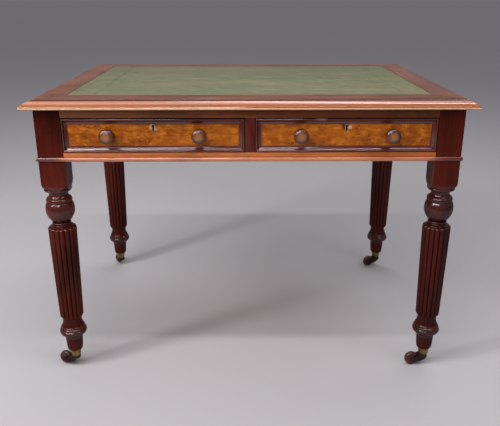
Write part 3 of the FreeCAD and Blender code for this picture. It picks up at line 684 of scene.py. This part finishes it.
def solid(name, shape, material, body, slot, *nodes):
    """A piece from its points in millimetres, which rides on the body and stands for the nodes."""
    points, faces = shape
    mesh = bpy.data.meshes.new(name)
    mesh.from_pydata([tuple(part * MM for part in point) for point in points], [], faces)
    mesh.update()
    mesh.materials.append(material)
    piece = linked(name, mesh)
    smooth(piece)
    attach(piece, body)
    if nodes:
        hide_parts(*nodes)
    return piece


def smooth(piece):
    """Smooth shading, apart from the sharp edges."""
    shape = bmesh.new()
    shape.from_mesh(piece.data)
    bmesh.ops.recalc_face_normals(shape, faces=shape.faces)
    shape.to_mesh(piece.data)
    shape.free()
    piece.data.polygons.foreach_set("use_smooth", [True] * len(piece.data.polygons))
    piece.data.set_sharp_from_angle(angle=CREASE_ANGLE)


def flowing(run):
    """The run's points with a smooth curve through them."""
    if len(run) < 3:
        return list(run)
    places = [Vector(point) for point in run]
    ends = [2 * places[0] - places[1]] + places + [2 * places[-1] - places[-2]]
    curve = []
    for before, start, stop, after in zip(ends, ends[1:], ends[2:], ends[3:]):
        for step in range(RUN_STEPS):
            share = step / RUN_STEPS
            square = share * share
            cube = square * share
            curve.append(0.5 * (
                2 * start + (stop - before) * share + (2 * before - 5 * start + 4 * stop - after) * square
                + (3 * start - before - 3 * stop + after) * cube
            ))
    curve.append(places[-1])
    return [tuple(point) for point in curve]


def outline(runs):
    """All points of the runs, one after the other."""
    return [point for run in runs for point in flowing(run)]


def rings_to_faces(ring_count, ring_size, joined=False):
    """Faces between rings in a row. The ends are closed with a face each, or joined to each other."""
    faces = []
    for ring in range(ring_count if joined else ring_count - 1):
        below = (ring + 1) % ring_count
        for step in range(ring_size):
            following = (step + 1) % ring_size
            faces.append((
                ring * ring_size + step, ring * ring_size + following,
                below * ring_size + following, below * ring_size + step,
            ))
    if not joined:
        faces.append(tuple(range(ring_size)))
        faces.append(tuple(range((ring_count - 1) * ring_size, ring_count * ring_size)))
    return faces


def lathe(runs, steps, joined=False):
    """A turned shape about Z from (radius, height) runs."""
    rings = outline(runs)
    points = []
    for radius, level in rings:
        reach = max(radius, LEAST_RADIUS)
        for step in range(steps):
            angle = 2 * math.pi * step / steps
            points.append((reach * math.cos(angle), reach * math.sin(angle), level))
    return points, rings_to_faces(len(rings), steps, joined=joined)


def placed(shape, centre, axis=UP):
    """The shape with its Z axis turned onto the axis and its origin moved to the centre."""
    turn = Vector(axis).to_track_quat("Z", "Y").to_matrix()
    points, faces = shape
    return [tuple(turn @ Vector(point) + Vector(centre)) for point in points], faces


def together(shapes):
    """One shape of several."""
    points = []
    faces = []
    for shape_points, shape_faces in shapes:
        start = len(points)
        points += shape_points
        faces += [tuple(start + corner for corner in face) for face in shape_faces]
    return points, faces


def corner_signs(corner):
    return (1 if "right" in corner else -1, 1 if "back" in corner else -1)


def square_ring(half, edge):
    """Points round a square with rounded corners."""
    points = []
    inner = half - edge
    for quarter in range(4):
        turn = Matrix.Rotation(quarter * math.pi / 2, 2)
        for step in range(BLOCK_CORNER_STEPS):
            angle = math.pi / 2 * step / (BLOCK_CORNER_STEPS - 1)
            points.append(turn @ Vector((inner + edge * math.cos(angle), inner + edge * math.sin(angle))))
        for step in range(1, BLOCK_SIDE_STEPS):
            points.append(turn @ Vector((inner - 2 * inner * step / BLOCK_SIDE_STEPS, half)))
    return points


def block_shape():
    """The square block, with its corners turned away above the rounded pommel."""
    square = square_ring(BLOCK_HALF, BLOCK_EDGE)
    levels = [(2 * BLOCK_HALF, BLOCK_TOP)] + outline(POMMEL_RUNS)
    points = []
    turned = False
    for radius, level in levels:
        for place in square:
            reach = place.length
            limit = radius if turned or radius < reach else reach
            points.append((place.x * limit / reach, place.y * limit / reach, level))
        turned = turned or radius < BLOCK_HALF
    return points, rings_to_faces(len(levels), len(square))


def reed_lift(across, along):
    """Share of its depth that a reed stands out, across it from -1 to 1 and along its nose from 0 to 1."""
    nose = math.sqrt(max(0.0, 1 - (1 - along) ** 2))
    if abs(across) >= nose:
        return 0.0
    half_width = math.pi * (COLUMN_TOP_RADIUS - REED_DEPTH) / REED_COUNT
    arc_radius = (half_width ** 2 + REED_DEPTH ** 2) / (2 * REED_DEPTH)
    arc_height = math.sqrt(arc_radius ** 2 - (half_width * across / nose) ** 2) - (arc_radius - REED_DEPTH)
    return nose * arc_height / REED_DEPTH


def reeded_rings():
    """The column's rings as (radius between the reeds, height, how far into its nose a reed is there)."""
    length = COLUMN_TOP - COLUMN_BOTTOM
    noses = [share * REED_NOSE for share in NOSE_SHARES]
    middle = [REED_NOSE + (length - 2 * REED_NOSE) * step / COLUMN_STEPS for step in range(1, COLUMN_STEPS)]
    rings = []
    for down in noses + middle + [length - nose for nose in reversed(noses)]:
        taper = (down / length) ** COLUMN_TAPER_POWER
        crest = COLUMN_TOP_RADIUS + (COLUMN_BOTTOM_RADIUS - COLUMN_TOP_RADIUS) * taper
        along = min(1.0, down / REED_NOSE, (length - down) / REED_NOSE)
        rings.append((crest - REED_DEPTH, COLUMN_TOP - down, max(along, LEAST_NOSE)))
    return rings


def turned_shape():
    """Vase, reeded column and foot, one below the other."""
    size = REED_COUNT * REED_STEPS
    plain_above = [(radius, level, 0.0) for radius, level in outline(TURNED_RUNS)]
    plain_below = [(radius, level, 0.0) for radius, level in outline(FOOT_RUNS)]
    rings = plain_above + reeded_rings() + plain_below
    points = []
    for radius, level, along in rings:
        for step in range(size):
            angle = 2 * math.pi * step / size
            reach = max(radius, LEAST_RADIUS)
            if along:
                reach += REED_DEPTH * reed_lift(2 * (step % REED_STEPS) / REED_STEPS - 1, along)
            points.append((reach * math.cos(angle), reach * math.sin(angle), level))
    return points, rings_to_faces(len(rings), size)


def place_legs(material):
    leg = together([block_shape(), turned_shape()])
    for corner in CORNERS:
        side, end = corner_signs(corner)
        shape = placed(leg, (side * LEG_AXIS[0], end * LEG_AXIS[1], 0.0))
        solid("turned_leg_" + corner, shape, material, "frame", "leg_mahogany", "leg_" + corner)


def stations(half):
    """Shares from -1 to 1 along a board, with one more close to each end."""
    count = round(2 * half / STATION_PITCH)
    inner = 1 - MITRE_REACH_SHARE
    return [-1.0] + [-inner + 2 * inner * step / count for step in range(count + 1)] + [1.0]


def mitred_board(turn, halves, section, waver=0.0, dip=0.0):
    """One side of a mitred frame, its section swept from corner to corner.

    The turn counts quarter turns from the front side. The halves are the frame's half sizes in X and Y.
    """
    half_along, half_across = halves if turn % 2 == 0 else reversed(halves)
    rotation = Matrix.Rotation(turn * math.pi / 2, 3, "Z")
    shares = stations(half_along)
    points = []
    for share in shares:
        for inset, level in section:
            plain = rotation @ Vector((share * (half_along - inset), inset - half_across, level))
            inset += waver * (1 + noise.noise(plain / WAVER_LENGTH)) / 2
            sunk = dip if abs(share) == 1 and level > TOP_UNDERSIDE else 0.0
            place = rotation @ Vector((share * (half_along - inset), inset - half_across, level - sunk))
            points.append(tuple(place))
    return points, rings_to_faces(len(shares), len(section))


def place_borders(material_x, material_y):
    section = outline(BORDER_FLAT + BORDER_EDGE + BORDER_BEAD)
    halves = (TOP_HALF_LENGTH, TOP_HALF_DEPTH)
    for turn, name in enumerate(("front", "right", "back", "left")):
        shape = mitred_board(turn, halves, section, EDGE_WAVER, MITRE_DIP)
        material = material_y if turn % 2 else material_x
        solid("moulded_border_" + name, shape, material, "frame", "top_mahogany", "top_border_" + name)


def place_beading(material):
    section = outline(BEADING_RUNS)
    halves = (BEADING_HALF_LENGTH, BEADING_HALF_DEPTH)
    shape = together([mitred_board(turn, halves, section) for turn in range(4)])
    solid("beading", shape, material, "frame", "leg_mahogany", "frieze_beading")


def grid_stations(half, lines):
    """Places across the leather, closer together where a tooled line runs."""
    count = round(2 * half / LEATHER_PITCH)
    places = [-half + 2 * half * step / count for step in range(count + 1)]
    places = [place for place in places if all(abs(place - line) > 2 * TOOL_HALF_WIDTH for line in lines)]
    for line in lines:
        places += [line + share * TOOL_HALF_WIDTH for share in (-1.0, -0.5, 0.0, 0.5, 1.0)]
    places += [-half + LEATHER_EDGE, half - LEATHER_EDGE]
    return sorted(places)


def tooled(place, lines):
    """How deep a tooled line goes at a place, from 0 beside it to 1 on it."""
    nearest = min(abs(place - line) for line in lines)
    return math.cos(math.pi / 2 * nearest / TOOL_HALF_WIDTH) ** 2 if nearest < TOOL_HALF_WIDTH else 0.0


def leather_level(x, y):
    swell = LEATHER_SWELL * (noise.noise(Vector((x, y, 0.0)) / SWELL_LENGTH) - 1) / 2
    groove = TOOL_DEPTH * max(tooled(x, TOOL_SIDES), tooled(y, TOOL_ROWS))
    rim = abs(x) == LEATHER_HALF_LENGTH or abs(y) == LEATHER_HALF_DEPTH
    return LEATHER_LEVEL + swell - groove - (LEATHER_EDGE_DROP if rim else 0.0)


def place_leather(material):
    columns = grid_stations(LEATHER_HALF_LENGTH, TOOL_SIDES)
    rows = grid_stations(LEATHER_HALF_DEPTH, TOOL_ROWS)
    points = [(x, y, leather_level(x, y)) for x in columns for y in rows]
    deep = len(rows)
    faces = []
    for column in range(len(columns) - 1):
        for row in range(deep - 1):
            start = column * deep + row
            faces.append((start, start + deep, start + deep + 1, start + 1))
    rim = [column * deep for column in range(len(columns))]
    rim += [(len(columns) - 1) * deep + row for row in range(1, deep)]
    rim += [column * deep + deep - 1 for column in range(len(columns) - 2, -1, -1)]
    rim += [row for row in range(deep - 2, 0, -1)]
    below = len(points)
    points += [(points[place][0], points[place][1], LEATHER_UNDERSIDE) for place in rim]
    for step, place in enumerate(rim):
        following = (step + 1) % len(rim)
        faces.append((place, below + step, below + following, rim[following]))
    faces.append(tuple(below + step for step in range(len(rim))))
    solid("leather_top", (points, faces), material, "frame", "green_leather", "writing_leather")


def place_knobs(material):
    knob = lathe(KNOB_RUNS, KNOB_STEPS)
    for side, sign in zip(SIDES, (-1, 1)):
        pair = []
        for end in (-1, 1):
            x = sign * BAY_CENTRE + end * KNOB_SPACING / 2
            pair.append(placed(knob, (x, DRAWER_FACE, KNOB_LEVEL), FORWARD))
        drawer = "drawer_" + side
        solid("turned_knobs_" + side, together(pair), material, drawer, "knob_mahogany", drawer + "_knobs")


def place_castors(brass, iron, glaze):
    wheel = lathe(WHEEL_RUNS, CASTOR_STEPS, joined=True)
    cup = lathe(CUP_RUNS, CASTOR_STEPS, joined=True)
    screw = lathe(SCREW_RUNS, SCREW_STEPS)
    for corner in CORNERS:
        joint = JOINTS["castor_roll_" + corner]
        centre = tuple(part / MM for part in joint["pos_m"])
        name = "castor_wheel_" + corner
        solid("wheel_" + corner, placed(wheel, centre, joint["axis"]), glaze, name, "glazed_ceramic", name)
        side, end = corner_signs(corner)
        foot = (side * LEG_AXIS[0], end * LEG_AXIS[1], 0.0)
        solid("cup_" + corner, placed(cup, foot), brass, "frame", "castor_brass", "castor_cup_" + corner)
        screws = []
        for degrees in CUP_SCREW_ANGLES:
            out = Vector((math.cos(math.radians(degrees)), math.sin(math.radians(degrees)), 0.0))
            place = Vector(foot) + out * CUP_SCREW_REACH + Vector((0.0, 0.0, CUP_SCREW_LEVEL))
            screws.append(placed(screw, place, out))
        solid("cup_screws_" + corner, together(screws), iron, "frame", "dark_iron")


def soften(names, width):
    """Join the split corners of CAD pieces, ease their edges and shade their flats evenly."""
    for name in names:
        piece = NODES[name]
        piece.data.polygons.foreach_set("use_smooth", [True] * len(piece.data.polygons))
        weld = piece.modifiers.new("weld", "WELD")
        weld.merge_threshold = WELD_GAP * MM
        flat = piece.modifiers.new("flat", "DECIMATE")
        flat.decimate_type = "DISSOLVE"
        flat.angle_limit = FLAT_ANGLE
        ease = piece.modifiers.new("ease", "BEVEL")
        ease.width = width * MM
        ease.segments = EDGE_SEGMENTS
        ease.limit_method = "ANGLE"
        ease.angle_limit = CREASE_ANGLE
        ease.harden_normals = True


def paint(names, material):
    for name in names:
        for slot in NODES[name].material_slots:
            slot.material = material


def dress_top():
    materials = []
    for name, grain in (("top_wood_x", ALONG_X), ("top_wood_y", ALONG_Y)):
        materials.append(wood(name, grain, coat=TOP_COAT, rubbed=EDGE_WEAR_AND_PAINTED_LIGHT, **TOP_WOOD))
    place_borders(*materials)
    place_leather(leather())


def dress_frame():
    place_legs(wood("leg_wood", ALONG_Z, **LEG_POLISH, **LEG_WOOD))
    turned = (ALONG_Y, (0.0, 0.0), (BEADING_HALF_LENGTH, BEADING_HALF_DEPTH))
    stains = []
    for corner in CORNERS:
        side, end = corner_signs(corner)
        x, y, z = CORNER_STAIN_PLACE
        stains.append(((side * x, end * y, z), CORNER_STAIN_REACH, EVENLY, LEG_WOOD["light"], 1.0))
    place_beading(wood(
        "beading_wood", ALONG_X, coat=BEADING_COAT, turned=turned, stains=stains, **BEADING_WOOD
    ))
    paint(["drawer_divider"], wood("divider_wood", ALONG_Z, **LEG_WOOD))
    paint(["side_rail_left", "side_rail_right"], wood("side_rail_wood", ALONG_Y, **LEG_WOOD))
    # Painted shade: the upper rail takes the darker copy of the rail wood.
    paint(["front_top_rail"], wood("shaded_upper_rail_wood", ALONG_X, **SHADED_UPPER_RAIL_WOOD))
    paint(["front_bottom_rail", "back_rail"], wood("lower_rail_wood", ALONG_X, **LOWER_RAIL_WOOD))
    deal_y = bare_wood("deal_y", ALONG_Y, **DEAL)
    bearers = ["drawer_runners", "drawer_guides", "drawer_kickers", "drawer_stops"]
    paint(bearers, deal_y)
    paint(["top_core"], bare_wood("deal_x", ALONG_X, **DEAL))
    paint(["top_screws"], metal("screw_iron", **SCREW_IRON))
    rails = ["side_rail_left", "side_rail_right", "back_rail", "front_top_rail", "front_bottom_rail"]
    soften(rails + ["drawer_divider"], BOARD_EDGE)
    soften(bearers, BOARD_EDGE)


def dress_castors():
    brass = metal("castor_brass", **CASTOR_BRASS)
    iron = metal("castor_iron", **CASTOR_IRON)
    place_castors(brass, iron, ceramic())
    for corner in CORNERS:
        paint(["castor_fork_" + corner, "castor_axle_" + corner], iron)
    soften(["castor_fork_" + corner for corner in CORNERS], IRON_EDGE)


def dress_drawers():
    panel = wood("panel_wood", ALONG_X, stains=KEYHOLE_WEAR, **PANEL_POLISH, **PANEL_WOOD)
    turned = (ALONG_Z, (BAY_CENTRE, KNOB_LEVEL), MOULDING_HALF)
    moulding = wood(
        "moulding_wood", ALONG_X, turned=turned, stains=SPLINTER, **MOULDING_POLISH, **MOULDING_WOOD
    )
    hearts = []
    for sign in (-1, 1):
        for end in (-1, 1):
            centre = (sign * BAY_CENTRE + end * KNOB_SPACING / 2, DRAWER_FACE - KNOB_REACH, KNOB_LEVEL)
            hearts.append((centre, *KNOB_HEART))
    place_knobs(wood("knob_wood", ALONG_Y, stains=hearts, **KNOB_POLISH, **KNOB_WOOD))
    oak_x = bare_wood("oak_x", ALONG_X, **OAK)
    oak_y = bare_wood("oak_y", ALONG_Y, **OAK)
    brass = metal("lock_brass", **LOCK_BRASS)
    keyhole_brass = metal("keyhole_brass", **KEYHOLE_BRASS)
    for side in SIDES:
        drawer = "drawer_" + side + "_"
        paint([drawer + "front"], panel)
        paint([drawer + "moulding"], moulding)
        paint([drawer + "side_outer", drawer + "side_inner"], oak_y)
        paint([drawer + "back", drawer + "bottom"], oak_x)
        paint([drawer + "escutcheon"], keyhole_brass)
        paint([drawer + "lock", drawer + "lock_bolt"], brass)
        soften([drawer + "moulding"], MOULDING_EDGE)
        soften([drawer + "side_outer", drawer + "side_inner", drawer + "back"], BOARD_EDGE)


def aimed(thing, place, aim):
    thing.location = place
    thing.rotation_euler = (Vector(aim) - Vector(place)).to_track_quat("-Z", "Y").to_euler()


def place_camera():
    data = bpy.data.cameras.new("camera")
    data.sensor_fit = "HORIZONTAL"
    data.sensor_width = SENSOR_WIDTH
    data.lens = FOCAL_PIXELS * SENSOR_WIDTH / IMAGE_WIDTH
    camera = linked("camera", data)
    level = Vector((math.sin(CAMERA_YAW), math.cos(CAMERA_YAW), 0.0))
    forward = level * math.cos(CAMERA_PITCH) - Vector((0.0, 0.0, math.sin(CAMERA_PITCH)))
    right = forward.cross(Vector(UP)).normalized()
    up = right.cross(forward)
    turn = Matrix((right, up, -forward)).transposed().to_4x4()
    camera.matrix_world = Matrix.Translation(CAMERA_PLACE) @ turn
    bpy.context.scene.camera = camera


def place_lamps():
    for name, (place, size, power) in LAMPS.items():
        data = bpy.data.lights.new(name, "AREA")
        data.shape = "RECTANGLE"
        data.size, data.size_y = size
        data.energy = power
        data.color = LAMP_COLOUR
        aimed(linked(name, data), place, LAMP_AIM)


def light_world():
    """A soft sky that brightens upwards, and a pale backdrop that the camera and the reflections see."""
    world = bpy.data.worlds.new("studio")
    world.use_nodes = True
    tree = world.node_tree
    tree.nodes.clear()
    place = tree.nodes.new("ShaderNodeTexCoord")
    parts = tree.nodes.new("ShaderNodeSeparateXYZ")
    tree.links.new(place.outputs["Generated"], parts.inputs[0])
    sky = tree.nodes.new("ShaderNodeMix")
    sky.data_type = "RGBA"
    sky.inputs[6].default_value = HORIZON_LIGHT + (1.0,)
    sky.inputs[7].default_value = ZENITH_LIGHT + (1.0,)
    tree.links.new(parts.outputs["Z"], sky.inputs[0])
    rays = tree.nodes.new("ShaderNodeLightPath")
    seen = tree.nodes.new("ShaderNodeMix")
    seen.data_type = "RGBA"
    seen.inputs[7].default_value = BACKDROP_COLOUR + (1.0,)
    seeing = None
    for name in BACKDROP_RAYS:
        either = tree.nodes.new("ShaderNodeMath")
        either.operation = "MAXIMUM"
        tree.links.new(rays.outputs[name], either.inputs[0])
        if seeing:
            tree.links.new(seeing, either.inputs[1])
        else:
            either.inputs[1].default_value = 0.0
        seeing = either.outputs[0]
    tree.links.new(seeing, seen.inputs[0])
    tree.links.new(sky.outputs[2], seen.inputs[6])
    background = tree.nodes.new("ShaderNodeBackground")
    tree.links.new(seen.outputs[2], background.inputs["Color"])
    output = tree.nodes.new("ShaderNodeOutputWorld")
    tree.links.new(background.outputs[0], output.inputs["Surface"])
    bpy.context.scene.world = world


def lay_floor():
    mesh = bpy.data.meshes.new("floor")
    reach = FLOOR_SIZE
    corners = [(-reach, -reach, 0), (reach, -reach, 0), (reach, reach, 0), (-reach, reach, 0)]
    mesh.from_pydata(corners, [], [(0, 1, 2, 3)])
    floor = linked("floor", mesh)
    surface = Surface("floor", Roughness=FLOOR_ROUGHNESS, Base_Color=FLOOR_COLOUR + (1.0,))
    floor.data.materials.append(surface.material)


dress_top()
dress_frame()
dress_castors()
dress_drawers()
place_camera()
place_lamps()
light_world()
lay_floor()
bpy.context.scene.view_settings.view_transform = "Standard"
